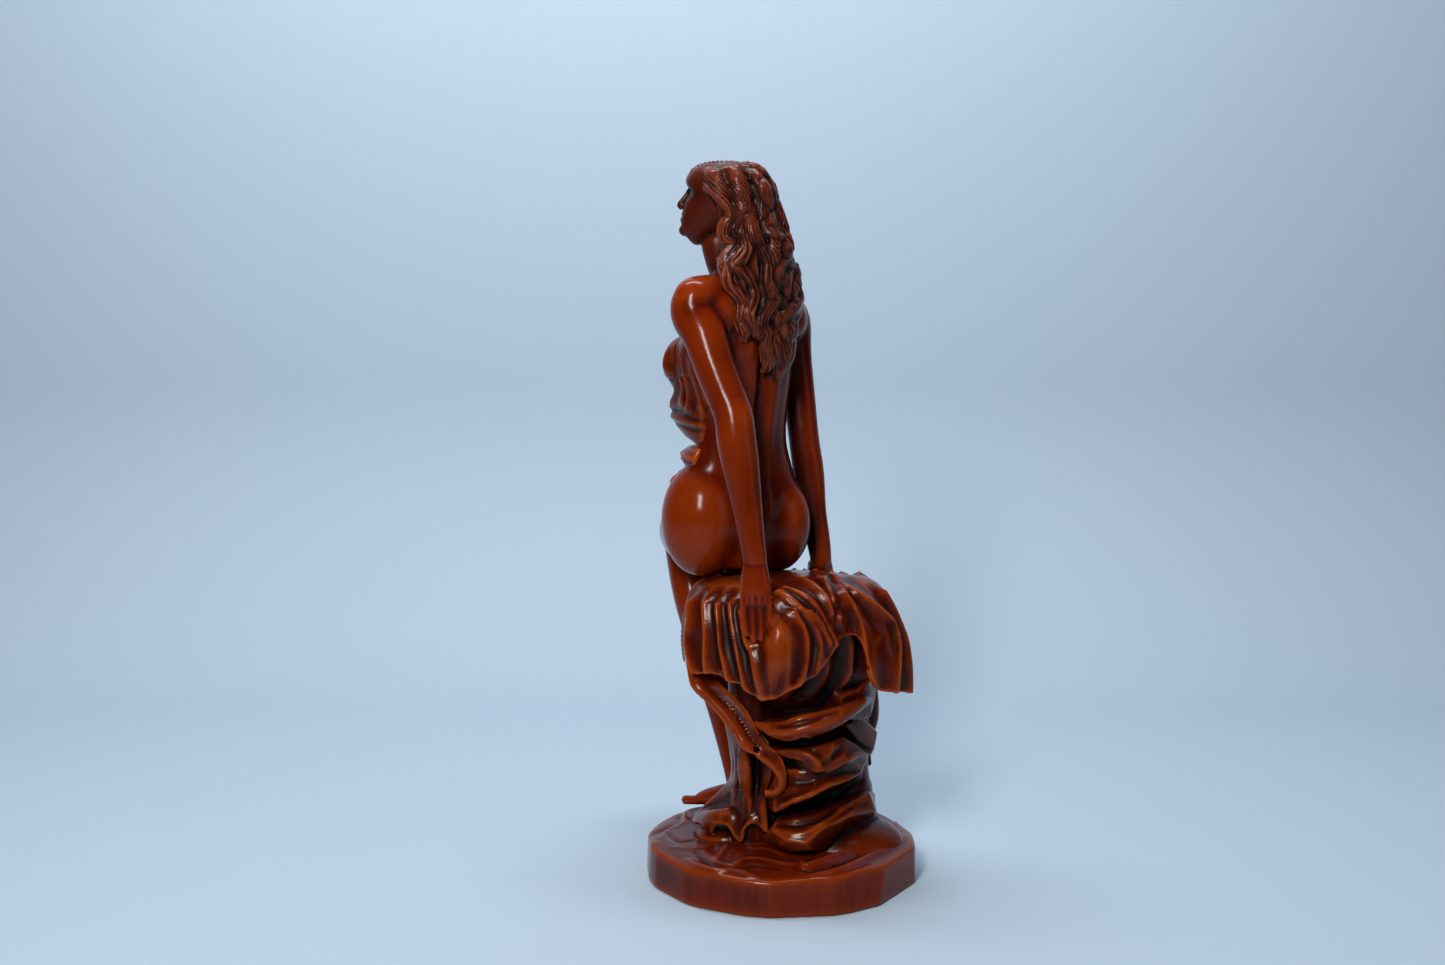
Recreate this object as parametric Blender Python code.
"""A carved hardwood figurine: a sitter leaning back on a cloth-covered rock, on a round plinth.

The carving is divided where a carver would divide the work: plinth, rock, seat cloth, the sitter's
trunk, head, hair, arms, hands, legs and feet, and the cloths that the sitter wears. Every member is
one closed solid, and each one is cut back from the members it meets by the glue line SEAM.

Frame: metres, +Z up, origin at the centre of the plinth's underside. The sitter's legs point to +Y
and the bare back looks to -Y. Positions in the tables are millimetres, scaled by MM.
"""

import math

import bmesh
import bpy
import numpy as np
from mathutils import Matrix, Vector

MM = 0.001

# Driving dimensions
BASE_RADIUS = 48.8 * MM
BASE_THICKNESS = 15.3 * MM
RIM_DROP = 2.4 * MM  # how far the plinth's ground falls from the middle to the rim
SEAT_RISE = 93.0 * MM  # plinth top to the crown of the seat cloth
ROCK_WAIST = 22.0 * MM  # half width of the rock at its narrowest
CLOTH_THICKNESS = 3.2 * MM
RIBBON_WIDTH = 2.6 * MM
SEAM = 0.3 * MM  # glue line between two members

HIP_HALF_WIDTH = 27.0 * MM
WAIST_HALF_WIDTH = 18.5 * MM
CHEST_HALF_WIDTH = 23.0 * MM
TRUNK_LENGTH = 100.0 * MM  # seat to the root of the neck
UPPER_ARM_RADIUS = 7.5 * MM
FOREARM_RADIUS = 6.2 * MM
WRIST_RADIUS = 4.4 * MM
THIGH_RADIUS = 13.0 * MM
KNEE_RADIUS = 8.6 * MM
CALF_RADIUS = 7.7 * MM
ANKLE_RADIUS = 4.2 * MM
FOOT_LENGTH = 26.5 * MM
HAND_LENGTH = 27.0 * MM
NECK_RADIUS = 6.1 * MM
HEAD_HEIGHT = 28.0 * MM  # chin to crown, without the hair
HAIR_DEPTH = 1.9 * MM  # how far the hair stands off the skull

# How far the sitter is turned, in degrees from +Y towards -X
PELVIS_TURN = 32.0
WAIST_TURN = 40.0
SHOULDER_TURN = 50.0
HEAD_TURN = 80.0
HEAD_LIFT = 8.0  # the chin is raised by this angle

BASE_TOP = BASE_THICKNESS
SEAT_TOP = BASE_TOP + SEAT_RISE


# Small helpers


def on_base(x, y, z):
    """A point given in millimetres above the plinth's top face."""
    return Vector((x * MM, y * MM, BASE_TOP + z * MM))


def on_seat(x, y, z):
    """A point given in millimetres above the crown of the seat."""
    return Vector((x * MM, y * MM, SEAT_TOP + z * MM))


def leftward(turn):
    """The sitter's left for a body turned this many degrees from +Y towards -X."""
    angle = math.radians(turn)
    return Vector((-math.cos(angle), -math.sin(angle), 0))


def forward(turn):
    angle = math.radians(turn)
    return Vector((-math.sin(angle), math.cos(angle), 0))


def catmull(rows, per_span):
    """Rows of numbers on one smooth curve through the given rows, per_span steps to a span."""
    rows = np.asarray(rows, float)
    ends = np.vstack([2 * rows[0] - rows[1], rows, 2 * rows[-1] - rows[-2]])
    found = []
    for span in range(len(rows) - 1):
        before, start, stop, after = ends[span : span + 4]
        for step in range(per_span):
            t = step / per_span
            found.append(
                0.5
                * (
                    2 * start
                    + (stop - before) * t
                    + (2 * before - 5 * start + 4 * stop - after) * t * t
                    + (3 * start - 3 * stop + after - before) * t**3
                )
            )
    found.append(rows[-1])
    return np.array(found)


def wood(name, colour, roughness=0.32):
    material = bpy.data.materials.new(name)
    material.use_nodes = True
    shader = material.node_tree.nodes["Principled BSDF"]
    shader.inputs["Base Color"].default_value = (*colour, 1)
    shader.inputs["Roughness"].default_value = roughness
    shader.inputs["Metallic"].default_value = 0.0
    return material


# Shape builders


def loft(bm, rows, sides=18, per_span=3):
    """A closed skin over elliptical rings.

    Each row is (centre, half width, reach to the front, reach to the back, side direction). Rings
    stand square to the curve through the centres, and the side direction is their long axis.
    """
    table = [[*c, across, fore, aft, *side] for c, across, fore, aft, side in rows]
    table = catmull(table, per_span)
    tangents = np.gradient(table[:, :3], axis=0)
    rings = []
    for index, (row, tangent) in enumerate(zip(table, tangents)):
        along = Vector(tangent).normalized()
        side = Vector(row[6:9])
        side = (side - along * side.dot(along)).normalized()
        depth = along.cross(side)
        across, fore, aft = (max(value, 0.2 * MM) for value in row[3:6])
        place = Matrix(
            (
                (side.x * across, depth.x * aft, along.x, row[0]),
                (side.y * across, depth.y * aft, along.y, row[1]),
                (side.z * across, depth.z * aft, along.z, row[2]),
                (0, 0, 0, 1),
            )
        )
        made = bmesh.ops.create_circle(
            bm,
            cap_ends=index in (0, len(table) - 1),
            segments=sides,
            radius=1,
            matrix=place,
        )["verts"]
        centre = Vector(row[:3])
        for vert in made:
            reach = (vert.co - centre).dot(depth)
            if reach < 0:
                vert.co += depth * reach * (fore / aft - 1)
        rings.append(made)
    for lower, upper in zip(rings, rings[1:]):
        edges = {e for v in lower for e in v.link_edges if e.other_vert(v) in lower}
        edges |= {e for v in upper for e in v.link_edges if e.other_vert(v) in upper}
        bmesh.ops.bridge_loops(bm, edges=list(edges))


def limb(bm, rows, side, sides=14, per_span=3):
    """A loft with round sections: rows of (point, radius) or (point, width, depth)."""
    full = [(row[0], row[1], row[-1], row[-1], side) for row in rows]
    loft(bm, full, sides, per_span)


def ball(bm, centre, radii, turn=0.0, tilt=0.0):
    """An ellipsoid with radii (across, along, up), turned as the sitter is."""
    place = (
        Matrix.Translation(centre)
        @ Matrix.Rotation(math.radians(turn), 4, "Z")
        @ Matrix.Rotation(math.radians(tilt), 4, "X")
        @ Matrix.Diagonal((*radii, 1))
    )
    bmesh.ops.create_uvsphere(bm, u_segments=18, v_segments=12, radius=1, matrix=place)


def new_object(name, bm, material):
    bmesh.ops.recalc_face_normals(bm, faces=bm.faces)
    mesh = bpy.data.meshes.new(name)
    bm.to_mesh(mesh)
    bm.free()
    mesh.materials.append(material)
    obj = bpy.data.objects.new(name, mesh)
    bpy.context.scene.collection.objects.link(obj)
    return obj


def settle(obj):
    """Turns an object's modifiers into its mesh."""
    graph = bpy.context.evaluated_depsgraph_get()
    mesh = bpy.data.meshes.new_from_object(obj.evaluated_get(graph))
    obj.modifiers.clear()
    obj.data = mesh


def fuse(obj, voxel, smoothing, triangles):
    """One skin over everything in the object, smoothed, with about this many triangles."""
    remesh = obj.modifiers.new("one_skin", "REMESH")
    remesh.mode = "VOXEL"
    remesh.voxel_size = voxel
    smooth = obj.modifiers.new("smooth", "SMOOTH")
    smooth.factor = 0.5
    smooth.iterations = smoothing
    settle(obj)
    now = sum(len(face.vertices) - 2 for face in obj.data.polygons)
    if now > triangles:
        thin = obj.modifiers.new("fewer_faces", "DECIMATE")
        thin.ratio = triangles / now
        settle(obj)
    return obj


def boxes_meet(one, other, gap):
    """Whether the boxes round two objects come within the gap of each other."""
    for axis in range(3):
        ones = [v.co[axis] for v in one.data.vertices]
        others = [v.co[axis] for v in other.data.vertices]
        if min(ones) > max(others) + gap or min(others) > max(ones) + gap:
            return False
    return True


def keep_largest_body(obj):
    """Drops the chips that a cut leaves loose."""
    bm = bmesh.new()
    bm.from_mesh(obj.data)
    unseen, groups = set(bm.verts), []
    while unseen:
        seed = unseen.pop()
        group, front = {seed}, [seed]
        while front:
            vert = front.pop()
            for edge in vert.link_edges:
                other = edge.other_vert(vert)
                if other in unseen:
                    unseen.discard(other)
                    group.add(other)
                    front.append(other)
        groups.append(group)
    groups.sort(key=len)
    for group in groups[:-1]:
        bmesh.ops.delete(bm, geom=list(group), context="VERTS")
    bm.to_mesh(obj.data)
    bm.free()


def volume(mesh):
    """The volume of a closed mesh, or zero if it isn't closed."""
    bm = bmesh.new()
    bm.from_mesh(mesh)
    closed = all(edge.is_manifold for edge in bm.edges)
    size = bm.calc_volume() if closed else 0.0
    bm.free()
    return size


def subtract(obj, other, gap):
    """Takes a neighbour, grown by the gap, out of an object."""
    cutter = bpy.data.objects.new(f"{other.name}_cutter", other.data.copy())
    bpy.context.scene.collection.objects.link(cutter)
    cutter.hide_render = True
    cutter.display_type = "WIRE"
    grow = cutter.modifiers.new("glue_line", "DISPLACE")
    grow.strength = gap
    grow.mid_level = 0.0
    cut = obj.modifiers.new("cut", "BOOLEAN")
    cut.operation = "DIFFERENCE"
    cut.object = cutter
    settle(obj)
    bpy.data.objects.remove(cutter)


def cut_to_fit(obj, neighbours):
    """Cuts an object back from each neighbour it meets, leaving the glue line between them.

    A cut that comes out unsound, because two faces graze each other, is made again a hair wider.
    """
    for other in neighbours:
        if not boxes_meet(obj, other, SEAM):
            continue
        whole = obj.data.copy()
        before = volume(whole)
        for widen in (1.0, 1.07, 1.15, 1.24, 1.4):
            subtract(obj, other, SEAM * widen)
            if 0.35 * before < volume(obj.data) < 1.001 * before:
                break
            obj.data = whole.copy()
    keep_largest_body(obj)


# The stand: plinth, rock and the cloth over it


def make_base(material):
    """The plinth: a log slice whose rim was pared flat with a knife, with a carved ground on top."""
    bm = bmesh.new()
    bmesh.ops.create_circle(bm, cap_ends=True, segments=26, radius=BASE_RADIUS)
    bottom = list(bm.faces)
    for index, vert in enumerate(bm.verts):
        vert.co *= 1 - 0.02 * (1 + math.sin(index * 2.4)) / 2
    grown = bmesh.ops.extrude_face_region(bm, geom=bottom)
    top = [e for e in grown["geom"] if isinstance(e, bmesh.types.BMFace)]
    corners = {v for f in top for v in f.verts}
    bmesh.ops.translate(bm, verts=list(corners), vec=(0, 0, BASE_THICKNESS - RIM_DROP))
    for inset, rise in ((1.3, 0.22), (9.0, 0.35), (9.0, 0.18), (9.0, 0.25)):
        bmesh.ops.inset_region(bm, faces=top, thickness=inset * MM, use_even_offset=True)
        inner = {v for f in top for v in f.verts}
        bmesh.ops.translate(bm, verts=list(inner), vec=(0, 0, rise * RIM_DROP))
    for vert in bm.verts:
        if vert.co.z > 0.5 * BASE_THICKNESS:
            angle = math.atan2(vert.co.y, vert.co.x)
            vert.co.z += 0.5 * MM * math.sin(3 * angle + vert.co.length * 160)
    return new_object("plinth", bm, material)


# Corners of the boulders, in millimetres over the plinth
BOULDERS = [
    # the shoulder in the middle
    [(-3, -22, 33.5), (4, -26, 35), (10, -27.5, 36.5), (20, -22, 38.5), (26, -15, 34), (30, -8, 29),
     (4, -28.5, 31.5), (11, -31, 28), (21, -24.5, 32), (28, -14, 25.5),
     (-6, -8, 34), (-4, -12, 27), (10, -12, 24), (30, -2, 26), (10, 4, 38)],
    # the slab under it
    [(-3, -23, 27), (4, -27.5, 29), (10.5, -29.5, 27.5), (21, -20, 27),
     (-3.5, -27, 13.5), (3, -31.5, 19), (9, -32.5, 21.5), (15, -29, 23.5), (21.5, -24, 24), (27, -16, 24.5),
     (-8, -8, 26), (-6, -10, 10), (10, -12, 14), (28, -4, 20), (31, 2, 25)],
    # the boulder at the foot
    [(-3.5, -27, 10), (3.5, -29, 12), (12, -28, 13), (21.5, -21, 14.5), (30.5, -10, 16),
     (-4.5, -29.5, 8.5), (0.5, -34.5, 6.5), (6.5, -36, 6), (13, -33, 10.5), (22.5, -24, 12), (32.5, -10, 9.5),
     (-1.5, -31, 4), (8, -33, 2.5), (-8, -12, 0), (0, -24, -1), (14, -22, -1), (32, -4, -1), (34, 4, 12),
     (8, 0, 18)],
    # the two blocks under the seat cloth on the right
    [(19.5, -24, 52.5), (26.5, -17, 54.5), (30.5, -9, 56), (33.5, -2, 51.5),
     (17, -27, 47), (23.5, -22, 44), (30.5, -10, 42.5), (32.5, -2, 45),
     (6, -8, 46), (14, 8, 48), (26, 6, 44), (8, -8, 60), (26, 8, 60)],
    [(20.5, -22, 43), (27.5, -14, 43), (34, -4, 36), (26, -15, 35.5), (32.5, -6, 30), (32, 0, 26.5),
     (8, -8, 42), (10, 6, 40), (26, 8, 38), (24, 4, 46)],
    # the low step beside it
    [(17, -30, -1), (33, -26, -1), (43, -6, -1), (41, 12, -1), (20, 10, -1),
     (20, -24, 2.2), (31, -19, 2.6), (39, -4, 3), (37, 10, 3),
     (24, -12, 6.5), (34, 0, 7.5), (33, 8, 8), (22, 0, 6)],
    # two on the far side
    [(-10, 12, -1), (30, 24, -1), (2, 24, -1), (36, 8, -1),
     (-9, 10, 14), (28, 22, 12), (4, 22, 16), (33, 8, 16), (10, 6, 20)],
    [(-9, 12, 18), (29, 18, 17), (6, 22, 19), (33, 4, 22),
     (-8, 10, 33), (27, 17, 36), (8, 20, 31), (31, 4, 38), (10, 6, 44)],
]
# The crescent fold over the boulders: points over the plinth, half width and depth
CRESCENT = [
    (-10.5, -24, 44, 0.7, 0.8), (-5.5, -28.5, 43, 2.2, 2.2), (0, -31.5, 43, 3.2, 3.2),
    (6, -32.5, 44.5, 3.9, 3.6), (12, -31.5, 45.5, 4, 3.6), (19, -28, 48, 3.2, 3), (27.5, -19, 51.5, 1.5, 1.6),
]
# Upright folds of the inner cloth: x, y, lower end, upper end, half width
INNER_FOLDS = [
    (-13, 5, 14, 54, 4.0), (30, 8, 24, 56, 4.2), (22, 16, 22, 58, 4.4), (6, 18, 26, 60, 4.4),
    (-8, 14, 30, 58, 3.6),
]


def make_rock(material):
    """The rock: broad boulders round a narrow waist, a crescent fold, and the inner cloth above."""
    waist = ROCK_WAIST / MM
    rows = [
        (on_base(8, -1, -1.5), waist + 6, 20, 17),
        (on_base(9, -1, 8), waist + 3, 19, 16),
        (on_base(9, -1, 22), waist, 17, 15),
        (on_base(9, -1, 38), waist, 16, 14.5),
        (on_base(8, -2, 50), waist, 16, 16),
        (on_base(7, -4, 60), waist + 2, 19, 20),
        (on_seat(5, -5, -20), 26, 22, 23),
        (on_seat(4, -5, -6), 22, 18, 18),
    ]
    bm = bmesh.new()
    west = Vector((-1, 0, 0))
    loft(
        bm,
        [(c, w * MM, f * MM, b * MM, west) for c, w, f, b in rows],
        sides=30,
        per_span=3,
    )
    for corners in BOULDERS:
        block = [bmesh.ops.create_vert(bm, co=on_base(*corner))["vert"][0] for corner in corners]
        bmesh.ops.convex_hull(bm, input=block)
    crescent = [(on_base(x, y, z), tall * MM, deep * MM) for x, y, z, tall, deep in CRESCENT]
    limb(bm, crescent, Vector((0, -0.5, 1)), sides=10)
    for x, y, low, high, wide in INNER_FOLDS:
        route = [(x - 1, y, low), (x + 1, y + 1, 0.5 * (low + high)), (x, y - 1, high)]
        limb(bm, [(on_base(*p), wide * MM) for p in route], west, sides=8)
    rock = new_object("rock", bm, material)
    return fuse(rock, 1.1 * MM, 1, 1050)


SEAT_CENTRE = (5.0, -6.0)
# Angle round the seat from -Y towards +X, rim radius, hem radius, hem height under the seat
SEAT_CLOTH = [
    (-180, 27, 29.5, -22),
    (-150, 27, 30, -23),
    (-120, 31, 34, -26),
    (-100, 36.5, 39, -31),
    (-84, 37.5, 39.5, -33.5),
    (-64, 37.5, 39, -33),
    (-44, 35, 37.3, -32.6),
    (-24, 34, 37.5, -37.5),
    (-9, 33.2, 37, -36),
    (8, 31.3, 34.5, -30),
    (20, 30, 34, -23.6),
    (26, 28.5, 31.5, -19),
    (38, 27.5, 31, -18.4),
    (44, 28.5, 32.5, -29),
    (50, 29.7, 34.3, -37),
    (66, 31.4, 37.5, -39.8),
    (88, 32.3, 40, -43),
    (97, 32.3, 38.7, -42),
    (110, 31, 36, -37),
    (135, 27, 30.8, -29),
    (158, 26, 29.5, -25),
]
# Ridges of the seat cloth: angle near the crown, under the rim and at the hem
FRONT_RIDGES = [
    # upright flutes on the left, the last one the edge of the bulge
    (-80, -84, -88),
    (-66, -64, -62),
    (-55, -51, -47),
    (-48, -40, -33),
    (-40, -31, -26),
    # right of the bulge, up to the free edge
    (0, 3, 2),
    (9, 12, 13),
    # the fan behind the hip
    (2, 17, 22),
    (15, 22, 25),
    (26, 33, 37),
    (37, 42, 50),
    # the long lobe
    (50, 72, 65),
    (90, 90, 92),
]
FAR_RIDGE_STEP = 14  # degrees between the even folds on the far side
TALLEST_FOLD = 3.4 * MM
FOLD_SHARE = 0.42  # height of a fold over the space it has
BULGE = (-14.0, 11.0, 2.8)  # the smooth bulge under the hand: angle, half width, height in mm


def seat_cloth_outline(angle):
    """Rim radius, hem radius and hem height of the seat cloth at an angle in degrees."""
    keys = SEAT_CLOTH + [(180, *SEAT_CLOTH[0][1:])]
    angles = [key[0] for key in keys]
    return [np.interp(angle, angles, [key[i] for key in keys]) for i in (1, 2, 3)]


def fold_rise(angle, t, radius):
    """How far the folds stand off the cloth: sharp ridges, with the hollows halfway between."""
    ridges = [np.interp(t, (0.4, 0.7, 1.0), ridge) for ridge in FRONT_RIDGES]
    ridges += range(FRONT_RIDGES[-1][1] + 22, 280, FAR_RIDGE_STEP)
    gaps = sorted(abs(math.radians((angle - at + 180) % 360 - 180)) * radius for at in ridges)
    space = (gaps[0] + gaps[1]) * MM
    tall = min(TALLEST_FOLD, FOLD_SHARE * space) * min(1.0, max(0.0, (26 - space / MM) / 10))
    rise = tall * ((1 - 2 * gaps[0] * MM / max(space, 1e-6)) ** 1.5 - 0.4)
    at, half, bulge = BULGE
    rise += bulge * MM * math.exp(-(((angle - at) / half) ** 2)) * min(1.0, max(0.0, (t - 0.5) / 0.2))
    return rise * min(1.0, max(0.0, (radius - 15) / 9))


def seat_cloth_point(angle, t):
    """A point of the cloth: t runs from 0 at the crown, over the rim, to 1 at the hem."""
    rim, hem, drop = seat_cloth_outline(angle)
    profile = [
        (0, 0),
        (0.5 * rim, -0.6),
        (0.82 * rim, -2.6),
        (rim, -9),
        (0.5 * (rim + hem) + 1, 0.5 * (drop - 9)),
        (hem, drop),
    ]
    steps = catmull(profile, 8)
    at = t * (len(steps) - 1)
    low = min(int(at), len(steps) - 2)
    along = steps[low + 1] - steps[low]
    radius, height = steps[low] + along * (at - low)
    rise = fold_rise(angle, t, radius) / MM
    radius -= rise * along[1] / np.linalg.norm(along)
    height += rise * along[0] / np.linalg.norm(along)
    turn = math.radians(angle)
    return on_seat(
        SEAT_CENTRE[0] + radius * math.sin(turn),
        SEAT_CENTRE[1] - radius * math.cos(turn),
        height,
    )


def make_seat_cloth(material):
    """The cloth over the seat: one flared skirt, closed over the top, with a wall."""
    around, down = 132, 18
    bm = bmesh.new()
    bmesh.ops.create_grid(bm, x_segments=around, y_segments=down, size=0.5)
    for vert in bm.verts:
        angle = (vert.co.x + 0.5) * 360 - 180
        t = 0.04 + 0.96 * (vert.co.y + 0.5)
        vert.co = seat_cloth_point(angle, t)
    bmesh.ops.remove_doubles(bm, verts=bm.verts, dist=0.02 * MM)
    crown = [e for e in bm.edges if e.is_boundary and min(v.co.z for v in e.verts) > SEAT_TOP - 1 * MM]
    bmesh.ops.holes_fill(bm, edges=crown, sides=around + 2)
    cloth = new_object("seat_cloth", bm, material)
    if cloth.data.polygons[0].normal.z < 0:
        cloth.data.flip_normals()
    wall = cloth.modifiers.new("wall", "SOLIDIFY")
    wall.thickness = CLOTH_THICKNESS
    wall.offset = -1.0
    settle(cloth)
    return fuse(cloth, 0.9 * MM, 1, 1500)


def make_ribbon(material):
    """The end of the cloth: it winds down from the seat, curls over and falls in folds to a puddle."""
    wide = RIBBON_WIDTH
    route = [
        (on_base(-32.5, -22, 64), 0.7 * wide, 1.4 * MM),
        (on_base(-28.5, -24, 56), wide, 1.8 * MM),
        (on_base(-22.5, -25, 47), 1.2 * wide, 1.9 * MM),
        (on_base(-14.5, -26, 38.5), 1.4 * wide, 2.0 * MM),
        (on_base(-7.0, -27, 31.5), 1.4 * wide, 2.0 * MM),
        (on_base(-2.0, -28, 25), wide, 1.8 * MM),
        (on_base(-2.6, -27.5, 20.5), 0.7 * wide, 1.6 * MM),
        (on_base(-6.5, -26.5, 19.5), 0.6 * wide, 1.4 * MM),
    ]
    bm = bmesh.new()
    limb(bm, route, Vector((0.75, 0, 0.65)), sides=12)
    falls = [
        # a fold's three points and its thickness
        ((-14.5, -22, 34), (-14, -21.5, 17), (-13, -21.5, 1.5), 3.0),
        ((-10.0, -22, 30), (-10.5, -23.5, 16), (-10.5, -25, 1.5), 2.2),
        ((-6.0, -23, 27), (-6.8, -24, 14), (-6.8, -25, 1.5), 2.4),
        ((-16.0, -16, 36), (-16.0, -17, 20), (-17, -17, 1.0), 2.6),
    ]
    for top, middle, bottom, thick in falls:
        points = (top, middle, bottom)
        limb(bm, [(on_base(*p), thick * MM) for p in points], Vector((1, 0, 0)), sides=8)
    for x, y, across, deep, tall in ((-22, -13, 12, 10, 5.5), (-12, -19, 9, 7, 3.5)):
        ball(bm, on_base(x, y, 0.5), (across * MM, deep * MM, tall * MM))
    for x, y in ((-16.5, -25.5), (-8.0, -26.5)):
        lip = [(-3.4, 0, 0), (-1.8, -1.6, 1.8), (1.2, -1.8, 2.0), (3.4, 0, 0)]
        limb(
            bm,
            [(on_base(x + a, y + b, 1.0 + c), 1.4 * MM) for a, b, c in lip],
            Vector((0, 1, 0)),
            sides=8,
        )
    ribbon = new_object("fallen_cloth", bm, material)
    return fuse(ribbon, 0.9 * MM, 1, 760)


# The sitter's trunk, head and hair


def trunk_row(height, x, y, half_width, fore, aft, turn):
    """One section of the trunk, its height given as a share of the trunk's length."""
    centre = Vector((x * MM, y * MM, SEAT_TOP + height * TRUNK_LENGTH))
    return (centre, half_width, fore * MM, aft * MM, leftward(turn))


def trunk_rows():
    hip, waist, chest = HIP_HALF_WIDTH, WAIST_HALF_WIDTH, CHEST_HALF_WIDTH
    return [
        trunk_row(0.005, -16, 6, 0.72 * hip, 13, 13, PELVIS_TURN),
        trunk_row(0.07, -15.5, 6, 0.95 * hip, 16, 17, PELVIS_TURN),
        trunk_row(0.17, -15, 5.5, hip, 17, 18, PELVIS_TURN),
        trunk_row(0.27, -15, 5, 0.93 * hip, 16, 16, PELVIS_TURN + 1),
        trunk_row(0.36, -14.5, 4, 1.16 * waist, 14, 13, PELVIS_TURN + 4),
        trunk_row(0.46, -14, 3, waist, 12.5, 11.5, WAIST_TURN),
        trunk_row(0.58, -13.6, 2.5, 1.03 * waist, 13.5, 12, WAIST_TURN + 3),
        trunk_row(0.70, -13.3, 2, 0.93 * chest, 15, 12.6, SHOULDER_TURN - 3),
        trunk_row(0.81, -13.2, 1.4, chest, 14.5, 12.6, SHOULDER_TURN),
        trunk_row(0.90, -13.4, 1, 0.97 * chest, 11.5, 11, SHOULDER_TURN),
        trunk_row(0.955, -14, 0.7, 0.80 * chest, 9, 9, SHOULDER_TURN),
        trunk_row(1.0, -15, 0.5, 0.52 * chest, 7.5, 7.8, SHOULDER_TURN),
    ]


def trunk_point(share, sideways, ahead, turn):
    """A point of the trunk at a share of its length, offset in millimetres left and forward."""
    rows = trunk_rows()
    heights = [(row[0].z - SEAT_TOP) / TRUNK_LENGTH for row in rows]
    x = np.interp(share, heights, [row[0].x for row in rows])
    y = np.interp(share, heights, [row[0].y for row in rows])
    centre = Vector((x, y, SEAT_TOP + share * TRUNK_LENGTH))
    return centre + leftward(turn) * sideways * MM + forward(turn) * ahead * MM


def shoulder(side):
    """The shoulder joint: side is +1 for the sitter's left and -1 for the right."""
    point = trunk_point(0.91, 0, 0, SHOULDER_TURN) + leftward(SHOULDER_TURN) * side * (
        1.07 * CHEST_HALF_WIDTH
    )
    point.z += side * 2 * MM
    return point


def hip(side):
    return trunk_point(0.135, 0, 0, PELVIS_TURN) + leftward(PELVIS_TURN) * side * (
        0.56 * HIP_HALF_WIDTH
    )


NECK_TOP = (-23.5, -0.2, 116)  # above the seat, in millimetres


def make_trunk(material):
    bm = bmesh.new()
    loft(bm, trunk_rows(), sides=28, per_span=3)
    for side in (1, -1):
        ball(
            bm,
            trunk_point(0.115, side * 11.5, -8.0, PELVIS_TURN),
            (13.2 * MM, 12.4 * MM, 13.6 * MM),
            PELVIS_TURN,
        )
        ball(
            bm,
            trunk_point(0.755, side * 8.5, 13.5, SHOULDER_TURN),
            (7.6 * MM, 7.4 * MM, 8.2 * MM),
            SHOULDER_TURN,
        )
        ball(
            bm,
            trunk_point(0.80, side * 10.5, -8.0, SHOULDER_TURN),
            (7.0 * MM, 5.4 * MM, 10.5 * MM),
            SHOULDER_TURN,
        )
        limb(
            bm,
            [
                (trunk_point(1.02, side * 2, -1, SHOULDER_TURN), 5.2 * MM),
                (trunk_point(0.965, side * 9, -1, SHOULDER_TURN), 5.6 * MM),
                (shoulder(side) + leftward(SHOULDER_TURN) * side * -3 * MM, 7.0 * MM),
            ],
            Vector((0, 0, 1)),
        )
    neck = [
        (trunk_point(0.95, 0, 0, SHOULDER_TURN), 8.5 * MM),
        (trunk_point(1.01, 0, 2.5, SHOULDER_TURN), NECK_RADIUS + 1.2 * MM),
        (on_seat(-20.6, 0.2, 108), NECK_RADIUS),
        (on_seat(*NECK_TOP), NECK_RADIUS),
    ]
    limb(bm, neck, leftward(HEAD_TURN))
    trunk = fuse(new_object("trunk", bm, material), 1.3 * MM, 4, 9000)
    for vert in trunk.data.vertices:
        share = (vert.co.z - SEAT_TOP) / TRUNK_LENGTH
        turn = PELVIS_TURN + (SHOULDER_TURN - PELVIS_TURN) * min(1, max(0, (share - 0.3) / 0.4))
        away = vert.co - trunk_point(share, 0, 0, turn)
        sideways, behind = away.dot(leftward(turn)), -away.dot(forward(turn))
        if behind > 4 * MM and share < 0.95:
            depth = 1.9 if share < 0.24 else 1.5 * min(1, (0.98 - share) / 0.3)
            hollow = depth * math.exp(-((sideways / (2.6 * MM)) ** 2)) * MM
            vert.co += forward(turn) * hollow
    return fuse(trunk, 1.2 * MM, 1, 1150)


def head_frame():
    """Places the head: local x is its left, y is where it looks, z is up."""
    centre = on_seat(-24.2, 0.4, 129.0)
    return (
        Matrix.Translation(centre)
        @ Matrix.Rotation(math.radians(HEAD_TURN), 4, "Z")
        @ Matrix.Rotation(math.radians(HEAD_LIFT), 4, "X")
        @ Matrix.Diagonal((-1, 1, 1, 1))
    )


def head_scale():
    return HEAD_HEIGHT / (28.0 * MM)


def on_head(x, y, z):
    return head_frame() @ (Vector((x, y, z)) * head_scale())


# Height, centre forward, half width, reach to the front, reach to the back
HEAD_SECTIONS = [
    (-13.8, 6.2, 2.6, 2.6, 3.4),
    (-12.4, 5.2, 4.6, 5.2, 5.4),
    (-9.0, 3.2, 6.6, 7.6, 7.0),
    (-5.0, 1.2, 8.0, 9.6, 9.6),
    (0.0, -1.0, 9.2, 10.9, 12.0),
    (5.0, -1.5, 9.7, 12.4, 12.6),
    (9.0, -1.5, 8.9, 11.2, 11.6),
    (12.2, -1.4, 6.4, 7.8, 8.4),
    (13.9, -1.2, 2.6, 3.4, 3.6),
]


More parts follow.
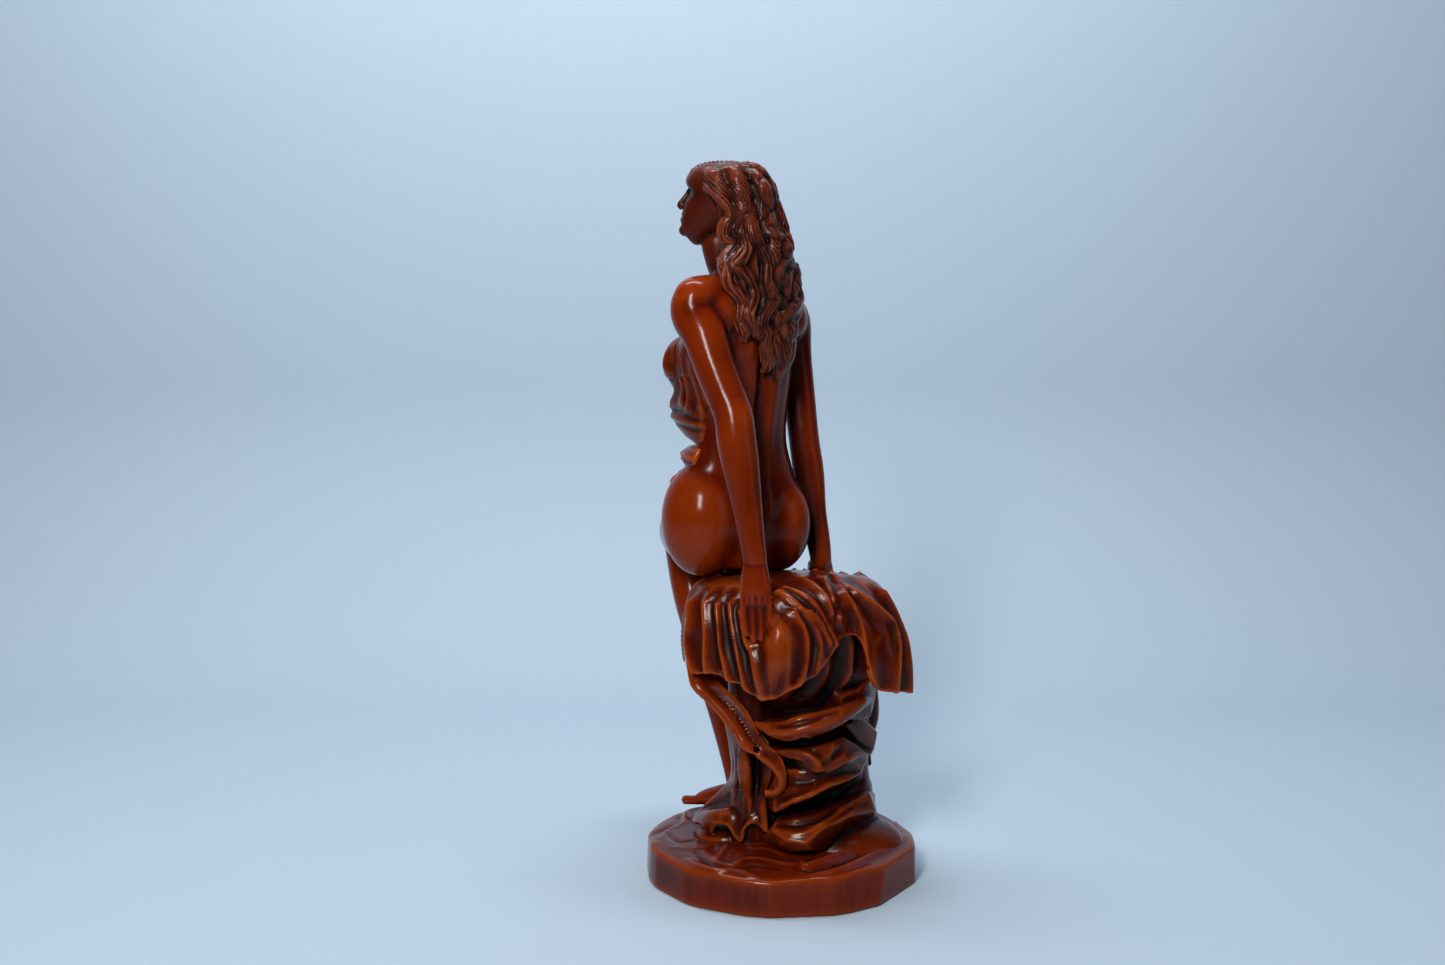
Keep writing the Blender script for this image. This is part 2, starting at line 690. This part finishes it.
def make_head(material):
    unit = MM * head_scale()
    turn = head_frame().to_3x3()
    bm = bmesh.new()
    rows = [
        (on_head(0, y * MM, z * MM), w * unit, f * unit, b * unit, turn @ Vector((1, 0, 0)))
        for z, y, w, f, b in HEAD_SECTIONS
    ]
    loft(bm, rows, sides=24, per_span=3)
    side = turn @ Vector((1, 0, 0))
    nose = [
        ((0, 10.6, 2.2), 1.0),
        ((0, 11.6, -0.8), 1.2),
        ((0, 12.6, -3.4), 1.7),
        ((0, 12.2, -4.6), 1.6),
        ((0, 10.0, -5.2), 1.4),
    ]
    limb(bm, [(on_head(*(Vector(p) * MM)), r * unit) for p, r in nose], side, sides=10)
    for x in (3.4, -3.4):
        ball(bm, on_head(x * MM, 8.4 * MM, 0.2 * MM), (2.1 * unit,) * 3)
        ball(bm, on_head(1.5 * x * MM, 6.0 * MM, -3.6 * MM), (3.8 * unit,) * 3)
    for z, reach in ((-8.0, 10.2), (-9.6, 10.0)):
        lip = [(x, reach - 0.06 * x * x, z) for x in (-3.0, -1.2, 1.2, 3.0)]
        sizes = (0.5, 1.15, 1.15, 0.5)
        limb(
            bm,
            [(on_head(*(Vector(p) * MM)), r * unit) for p, r in zip(lip, sizes)],
            turn @ Vector((0, 1, 0)),
            sides=8,
        )
    ball(bm, on_head(0, 8.2 * MM, -12.2 * MM), (2.9 * unit, 2.6 * unit, 2.3 * unit))
    head = new_object("head", bm, material)
    return fuse(head, 0.7 * MM, 2, 880)


def back_point(share, sideways, off):
    """A point over the bare back: sideways and off the skin in millimetres."""
    rows = trunk_rows()
    heights = [(row[0].z - SEAT_TOP) / TRUNK_LENGTH for row in rows]
    half = np.interp(share, heights, [row[1] for row in rows]) / MM + 5
    aft = np.interp(share, heights, [row[3] for row in rows]) / MM
    depth = aft * math.sqrt(max(0.05, 1 - (sideways / half) ** 2))
    return trunk_point(share, sideways, -depth - off, SHOULDER_TURN)


def hair_ring(share, centre, across, deep, start, sweep, height):
    """A point on a level ring round the head, its angle running with the lock's share."""
    angle = math.radians(start + sweep * share)
    return on_seat(
        centre[0] + across * math.cos(angle), centre[1] + deep * math.sin(angle), height
    )


def hair_lock(share, off):
    """The route of one lock: share runs from the left temple, round the back, to the right one."""
    lift = HAIR_DEPTH / MM + off
    crown = math.sin(math.pi * share)
    side = -1 if share < 0.5 else 1
    points = [
        on_seat(-29 + 15 * crown, 0.4 * side, 137.4 + lift + 2.0 * crown),
        hair_ring(share, (-18.5, 0.3), 11.0 + lift, 9.0 + lift, -128, 232, 136),
        hair_ring(share, (-17.2, 0.3), 10.6 + lift, 10.2 + lift, -116, 210, 125),
        hair_ring(share, (-12.5, 0.0), 9.6 + lift, 10.0 + lift, -142, 250, 114),
    ]
    spread = 1 - 2 * share
    points += [
        back_point(1.04, 15.0 * spread, lift + 3.6),
        back_point(0.95, 16.0 * spread + 0.5, lift + 0.6),
        back_point(0.84, 11.5 * spread + 0.5, lift),
        back_point(0.72 + 0.09 * spread * spread, 6.0 * spread, lift - 0.8),
    ]
    return points


def make_hair(material):
    """Long hair parted in the middle, as thick wavy locks over the skull and down the back."""
    unit = MM * head_scale()
    bm = bmesh.new()
    ball(bm, on_head(0, -5.2 * MM, 3.4 * MM), (11.4 * unit, 11.6 * unit, 12.0 * unit), HEAD_TURN)
    shape = (0.6, 0.95, 1.0, 1.1, 1.15, 1.2, 1.0, 0.35)
    for locks, off, thick in ((7, -0.8, 3.5), (11, 1.3, 1.9)):
        for index in range(locks):
            share = index / (locks - 1)
            route = [(*p, g) for p, g in zip(hair_lock(share, off + 0.9 * (index % 2)), shape)]
            rows = []
            for step, (x, y, z, grow) in enumerate(catmull(route, 4)):
                free = min(1.0, max(0.0, (step - 8) / 6))
                sway = 1.7 * free * math.sin(0.72 * step + 2.1 * index) * MM
                rows.append((Vector((x, y, z)) + leftward(SHOULDER_TURN) * sway, thick * grow * MM))
            limb(bm, rows, leftward(SHOULDER_TURN), sides=8, per_span=1)
    hair = new_object("hair", bm, material)
    return fuse(hair, 0.8 * MM, 1, 1550)


# The sitter's limbs


def arm_points(side):
    if side > 0:
        elbow, wrist = on_seat(-15.8, -33.0, 43.6), on_seat(-10.6, -36.4, 9.0)
    else:
        elbow, wrist = on_seat(9.2, 19.0, 42.5), on_seat(14.6, 17.5, 6.5)
    return shoulder(side), elbow, wrist


def make_arm(name, side, material):
    top, elbow, wrist = arm_points(side)
    upper, fore, small = UPPER_ARM_RADIUS, FOREARM_RADIUS, WRIST_RADIUS
    swell = Vector((-0.6, -1.2, 0)) if side > 0 else Vector((0, 1.0, 0))
    rows = [
        (top + Vector((0, 0, 3 * MM)), 0.84 * upper),
        (top + Vector((0, 0, -5 * MM)), 1.10 * upper),
        (top.lerp(elbow, 0.33) + swell * MM, upper),
        (top.lerp(elbow, 0.68) + 0.5 * swell * MM, 0.93 * upper),
        (elbow, 1.04 * fore),
        (elbow.lerp(wrist, 0.35), fore),
        (elbow.lerp(wrist, 0.72), 0.86 * fore),
        (wrist, small, 0.85 * small),
    ]
    bm = bmesh.new()
    limb(bm, rows, Vector((1, 0, 0)), sides=18)
    ball(bm, top + Vector((0, 0, -1 * MM)), (1.06 * upper,) * 3)
    arm = new_object(name, bm, material)
    return fuse(arm, 1.1 * MM, 3, 320)


def make_hand(name, wrist, palm_way, finger_way, side, thumb_side, material):
    """A hand from the wrist: the palm runs one way and the fingers bend on another."""
    length = HAND_LENGTH
    knuckles = wrist + palm_way * 0.52 * length
    bm = bmesh.new()
    palm = [
        (wrist - palm_way * 1.5 * MM, WRIST_RADIUS, 0.8 * WRIST_RADIUS),
        (wrist + palm_way * 0.2 * length, 5.0 * MM, 3.0 * MM),
        (knuckles, 5.5 * MM, 2.5 * MM),
        (knuckles + finger_way * 1.5 * MM, 5.0 * MM, 1.8 * MM),
    ]
    limb(bm, palm, side, sides=16)
    reaches = (0.40, 0.47, 0.45, 0.36)
    for index, reach in enumerate(reaches):
        root = knuckles + side * (index - 1.5) * 2.55 * MM
        tip = root + finger_way * reach * length - side * (index - 1.5) * 0.5 * MM
        limb(
            bm,
            [(root, 1.45 * MM), (root.lerp(tip, 0.5), 1.35 * MM), (tip, 0.85 * MM)],
            side,
            sides=8,
        )
    thumb = wrist + palm_way * 0.16 * length + side * thumb_side * 4.0 * MM
    thumb_tip = thumb + (palm_way * 0.75 + side * thumb_side * 0.65) * 0.36 * length
    limb(bm, [(thumb, 1.9 * MM), (thumb.lerp(thumb_tip, 0.5), 1.7 * MM), (thumb_tip, 1.0 * MM)], side, sides=8)
    hand = new_object(name, bm, material)
    return fuse(hand, 0.5 * MM, 1, 430)


def leg_points(side):
    if side > 0:
        return hip(1), on_seat(-37.0, 47, 10.5), on_base(-11.6, 20.5, 13)
    return hip(-1), on_seat(-16.0, 53, 5.5), on_base(5.0, 32, 13)


def make_thigh(name, side, material):
    top, knee, _ = leg_points(side)
    bm = bmesh.new()
    rows = [
        (top.lerp(knee, -0.06), 1.05 * THIGH_RADIUS),
        (top.lerp(knee, 0.2) + leftward(PELVIS_TURN) * side * 1.5 * MM, 1.08 * THIGH_RADIUS),
        (top.lerp(knee, 0.55), 0.92 * THIGH_RADIUS),
        (top.lerp(knee, 0.85), 1.06 * KNEE_RADIUS),
        (knee, KNEE_RADIUS),
    ]
    limb(bm, rows, Vector((1, 0, 0)), sides=18)
    thigh = new_object(name, bm, material)
    return fuse(thigh, 1.4 * MM, 2, 240)


def make_shank(name, side, material):
    _, knee, ankle = leg_points(side)
    behind = Vector((-2.4 * MM, -2.2 * MM, 0)) if side > 0 else Vector((-0.6 * MM, -2.4 * MM, 0))
    bm = bmesh.new()
    rows = [
        (knee + Vector((0, 0, 2 * MM)), 0.86 * KNEE_RADIUS),
        (knee.lerp(ankle, 0.12), 0.94 * KNEE_RADIUS),
        (knee.lerp(ankle, 0.28) + behind, CALF_RADIUS),
        (knee.lerp(ankle, 0.52) + 0.6 * behind, 0.84 * CALF_RADIUS),
        (knee.lerp(ankle, 0.8), 1.15 * ANKLE_RADIUS),
        (ankle, ANKLE_RADIUS),
        (ankle + Vector((0, 0, -6 * MM)), 1.05 * ANKLE_RADIUS),
    ]
    limb(bm, rows, Vector((1, 0, 0)), sides=16)
    ball(bm, knee + Vector((0, 1.5 * MM, -1 * MM)), (0.98 * KNEE_RADIUS,) * 3)
    shank = new_object(name, bm, material)
    return fuse(shank, 1.2 * MM, 2, 280)


def make_foot(name, side, material):
    _, _, ankle = leg_points(side)
    way = Vector((-0.56, 0.83, 0)) if side > 0 else Vector((-0.80, 0.60, 0))
    way.normalize()
    across = Vector((way.y, -way.x, 0))
    heel = Vector((ankle.x, ankle.y, BASE_TOP)) - way * 0.16 * FOOT_LENGTH
    rows = [
        # share of the foot's length, height of the centre, half width, half height
        (0.0, 5.4, 2.6, 3.2),
        (0.1, 5.4, 3.9, 4.8),
        (0.3, 5.8, 4.0, 5.2),
        (0.55, 4.8, 4.6, 4.0),
        (0.78, 3.6, 5.2, 2.9),
        (0.93, 2.9, 4.8, 2.2),
        (1.0, 2.6, 3.2, 1.5),
    ]
    bm = bmesh.new()
    limb(
        bm,
        [
            (heel + way * share * FOOT_LENGTH + Vector((0, 0, up * MM)), w * MM, h * MM)
            for share, up, w, h in rows
        ],
        across,
        sides=14,
    )
    foot = new_object(name, bm, material)
    return fuse(foot, 0.9 * MM, 1, 240)


# What the sitter wears


def cloth_roll(bm, share, start, stop, reach, thick, tall, turn):
    """A roll of bunched cloth round the front of the trunk, from one angle to another."""
    rows = []
    steps = 9
    for step in range(steps):
        angle = start + (stop - start) * step / (steps - 1)
        sway = 1.2 * math.sin(step * 1.9)
        side_reach, fore_reach = reach
        point = trunk_point(
            share + 0.01 * sway,
            side_reach * math.sin(math.radians(angle)),
            fore_reach * math.cos(math.radians(angle)),
            turn,
        )
        ease = 0.45 + 0.55 * math.sin(math.pi * step / (steps - 1))
        rows.append((point, thick * ease * MM, tall * ease * MM))
    limb(bm, rows, Vector((-0.1, 0.1, 0.05)), sides=12, per_span=2)


def make_bodice(material):
    """The cloth over the breast, tied high and bunched into rolls above the waist."""
    bm = bmesh.new()
    rows = []
    for share, wide, fore in (
        (0.50, 17.0, 17.5),
        (0.58, 18.5, 20.5),
        (0.65, 19.0, 20.5),
        (0.73, 20.0, 24.0),
        (0.79, 20.5, 23.0),
        (0.85, 19.0, 16.5),
    ):
        turn = WAIST_TURN + (SHOULDER_TURN - WAIST_TURN) * min(1, (share - 0.46) / 0.3)
        rows.append(
            (trunk_point(share, 0, 3.0, turn), wide * MM, (fore - 3.0) * MM, 2.0 * MM, leftward(turn))
        )
    loft(bm, rows, sides=26, per_span=3)
    for side in (1, -1):
        ball(
            bm,
            trunk_point(0.735, side * 8.8, 16.5, SHOULDER_TURN),
            (9.2 * MM, 9.6 * MM, 10.4 * MM),
            SHOULDER_TURN,
        )
    cloth_roll(bm, 0.575, -92, 92, (20.5, 20.5), 4.6, 5.6, WAIST_TURN)
    cloth_roll(bm, 0.50, -92, 92, (18.5, 17.0), 3.0, 3.4, WAIST_TURN)
    bodice = new_object("bodice_cloth", bm, material)
    return fuse(bodice, 1.1 * MM, 2, 560)


def make_sash(material):
    """The cloth round the hips: a bunched roll whose folds fall over the lap between the knees."""
    bm = bmesh.new()
    cloth_roll(bm, 0.385, -98, 98, (21.5, 17.0), 3.2, 3.8, PELVIS_TURN + 4)
    cloth_roll(bm, 0.34, -80, 86, (23.0, 17.0), 2.6, 3.0, PELVIS_TURN + 2)
    folds = 6
    for index in range(folds):
        u = index / (folds - 1)
        spread = 1 - 2 * u
        wave = 1.3 * (-1) ** index
        route = [
            trunk_point(0.38, 9 * spread, 14.5, PELVIS_TURN),
            trunk_point(0.30, 12 * spread, 22.0 + wave, PELVIS_TURN),
            on_seat(-25.5 - 12 * spread, 32 - 3 * spread, 21 + wave + 3 * spread),
            on_seat(-26.5 - 12 * spread, 47 - 3 * spread, 17.5 + wave + 3 * spread),
            on_seat(-27.0 - 10 * spread, 60 - 3.5 * spread + wave, 5 + 3 * spread),
            on_seat(-25.0 - 8.5 * spread, 60.5 - 3 * spread + wave, -14),
            on_seat(-22.5 - 9.5 * spread, 56 - 3 * spread + 1.5 * wave, -32 - 5 * spread + 3 * wave),
        ]
        thick = (3.0, 3.6, 4.0, 4.0, 3.4, 2.8, 2.6)
        limb(bm, [(p, r * MM) for p, r in zip(route, thick)], Vector((1, 0.15, 0)), sides=10)
    sash = new_object("lap_cloth", bm, material)
    return fuse(sash, 1.2 * MM, 1, 720)


# Assembly


def clear_scene():
    for obj in list(bpy.data.objects):
        bpy.data.objects.remove(obj, do_unlink=True)


def main():
    clear_scene()
    skin = wood("polished_hardwood", (0.19, 0.035, 0.012))
    shade = wood("polished_hardwood_cloth", (0.16, 0.030, 0.012), 0.36)
    ground = wood("polished_hardwood_base", (0.15, 0.030, 0.012), 0.38)
    dark = wood("polished_hardwood_hair", (0.10, 0.022, 0.012), 0.4)

    trunk = make_trunk(skin)
    head = make_head(skin)
    thighs = [make_thigh("left_thigh", 1, skin), make_thigh("right_thigh", -1, skin)]
    arms = [make_arm("left_arm", 1, skin), make_arm("right_arm", -1, skin)]
    left_wrist, right_wrist = arm_points(1)[2], arm_points(-1)[2]
    down = Vector((0.03, -0.12, -1)).normalized()
    over = Vector((0.06, 0.78, -0.62)).normalized()
    hands = [
        make_hand("left_hand", left_wrist, down, down, Vector((1, 0, 0)), -1, skin),
        make_hand(
            "right_hand",
            right_wrist,
            over,
            Vector((0.02, 0.30, -0.95)).normalized(),
            Vector((1, 0, 0)),
            -1,
            skin,
        ),
    ]
    shanks = [make_shank("left_shank", 1, skin), make_shank("right_shank", -1, skin)]
    feet = [make_foot("left_foot", 1, skin), make_foot("right_foot", -1, skin)]
    plinth = make_base(ground)
    cloths = [make_bodice(shade), make_sash(shade)]
    hair = make_hair(dark)
    seat_cloth = make_seat_cloth(shade)
    ribbon = make_ribbon(shade)
    rock = make_rock(ground)

    # Each member is cut back from the ones before it in this order.
    order = [plinth, trunk, head, *arms, *hands, *thighs, *shanks, *feet]
    order += [*cloths, hair, seat_cloth, ribbon, rock]
    for index, member in enumerate(order):
        cut_to_fit(member, order[:index])
        member.data.shade_smooth()


main()
